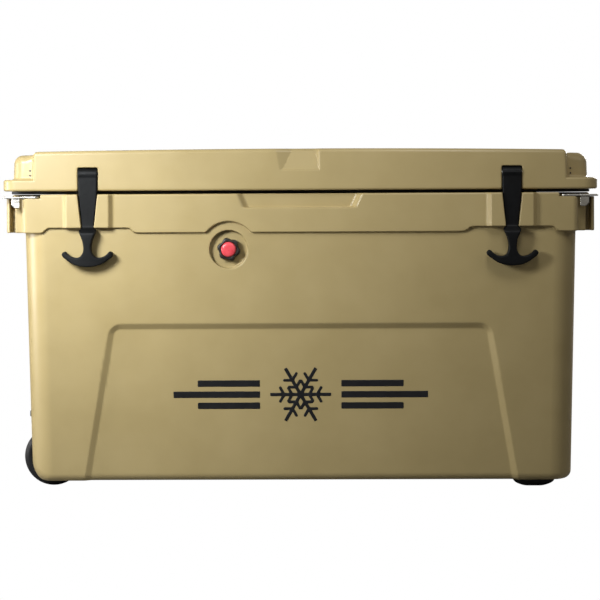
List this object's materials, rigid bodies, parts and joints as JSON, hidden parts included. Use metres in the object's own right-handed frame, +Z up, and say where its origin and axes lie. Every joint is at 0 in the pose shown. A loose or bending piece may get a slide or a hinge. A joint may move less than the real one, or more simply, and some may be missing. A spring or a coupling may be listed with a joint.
{
  "type": "cooler chest",
  "caption": "Long insulated cooler chest with a hinged lid, rubber T-latches, corner lock plates with bottle openers, a vent valve, end hand grips, and wheels at one end.",
  "frame": {"origin": "on the ground under the middle of the chest's overall box", "axes": "+X along the length, from the wheel end to the end with the feet; +Y from the front with the latches to the hinged back; +Z up"},
  "size_m": [0.904, 0.5068, 0.5175],
  "materials": {
    "tan_polyethylene": "satin",
    "insulation_foam": "matte",
    "stainless_steel": "satin",
    "zinc_plated_steel": "satin",
    "tyre_rubber": "matte",
    "black_rubber": "matte",
    "black_nylon": "satin",
    "red_plastic": "gloss"
  },
  "bodies": {
    "base": {"base_shell": "tan_polyethylene", "base_foam": "insulation_foam", "base_fill_plug_left": "tan_polyethylene", "base_fill_plug_right": "tan_polyethylene", "corner_plate_left": "stainless_steel", "corner_plate_right": "stainless_steel", "plate_screw_left_1": "stainless_steel", "plate_screw_left_2": "stainless_steel", "plate_screw_right_1": "stainless_steel", "plate_screw_right_2": "stainless_steel", "hinge_base_leaf_left": "black_nylon", "hinge_base_leaf_right": "black_nylon", "hinge_pin_left": "stainless_steel", "hinge_pin_right": "stainless_steel", "hinge_screw_base_left_1": "stainless_steel", "hinge_screw_base_left_2": "stainless_steel", "hinge_screw_base_right_1": "stainless_steel", "hinge_screw_base_right_2": "stainless_steel", "axle": "zinc_plated_steel", "axle_cap_front": "zinc_plated_steel", "axle_cap_rear": "zinc_plated_steel", "foot_front": "black_rubber", "foot_rear": "black_rubber", "foot_screw_front": "zinc_plated_steel", "foot_screw_rear": "zinc_plated_steel", "drain_bushing": "black_nylon", "drain_gasket": "black_rubber", "vent_body": "black_nylon", "vent_gasket": "black_rubber", "vent_nut": "black_nylon", "vent_spring": "stainless_steel"},
    "lid": {"lid_shell": "tan_polyethylene", "lid_foam": "insulation_foam", "lid_fill_plug_left": "tan_polyethylene", "lid_fill_plug_right": "tan_polyethylene", "lid_seal": "black_rubber", "hinge_lid_leaf_left": "black_nylon", "hinge_lid_leaf_right": "black_nylon", "hinge_screw_lid_left_1": "stainless_steel", "hinge_screw_lid_left_2": "stainless_steel", "hinge_screw_lid_right_1": "stainless_steel", "hinge_screw_lid_right_2": "stainless_steel", "latch_pin_left": "stainless_steel", "latch_pin_right": "stainless_steel"},
    "latch_left": {"latch_strap_left": "black_rubber"},
    "latch_right": {"latch_strap_right": "black_rubber"},
    "wheel_front": {"tyre_front": "tyre_rubber", "wheel_hub_front": "black_nylon"},
    "wheel_rear": {"tyre_rear": "tyre_rubber", "wheel_hub_rear": "black_nylon"},
    "vent_button": {"vent_button": "red_plastic"},
    "drain_plug": {"drain_plug": "black_nylon", "drain_plug_seal": "black_rubber"}
  },
  "joints": [
    {"name": "lid_hinge", "type": "hinge", "parent": "base", "child": "lid", "pos_m": [0, 0.2473, 0.452], "axis": [-1, 0, 0], "range_deg": [0, 100]},
    {"name": "latch_left_hinge", "type": "hinge", "parent": "lid", "child": "latch_left", "pos_m": [-0.321, -0.235, 0.4805], "axis": [-1, 0, 0], "range_deg": [0, 100], "deforming": ["latch_strap_left"]},
    {"name": "latch_right_hinge", "type": "hinge", "parent": "lid", "child": "latch_right", "pos_m": [0.321, -0.235, 0.4805], "axis": [-1, 0, 0], "range_deg": [0, 100], "deforming": ["latch_strap_right"]},
    {"name": "wheel_front_spin", "type": "hinge", "parent": "base", "child": "wheel_front", "pos_m": [-0.383, -0.173, 0.045], "axis": [0, 1, 0], "continuous": true},
    {"name": "wheel_rear_spin", "type": "hinge", "parent": "base", "child": "wheel_rear", "pos_m": [-0.383, 0.173, 0.045], "axis": [0, 1, 0], "continuous": true},
    {"name": "vent_button_press", "type": "slide", "parent": "base", "child": "vent_button", "axis": [0, 1, 0], "range_m": [0, 0.003], "stiffness_N_per_m": 400, "deforming": ["vent_spring"]},
    {"name": "drain_plug_turn", "type": "hinge", "parent": "base", "child": "drain_plug", "pos_m": [-0.42, -0.09, 0.102], "axis": [-1, 0, 0], "range_deg": [0, 720]}
  ]
}
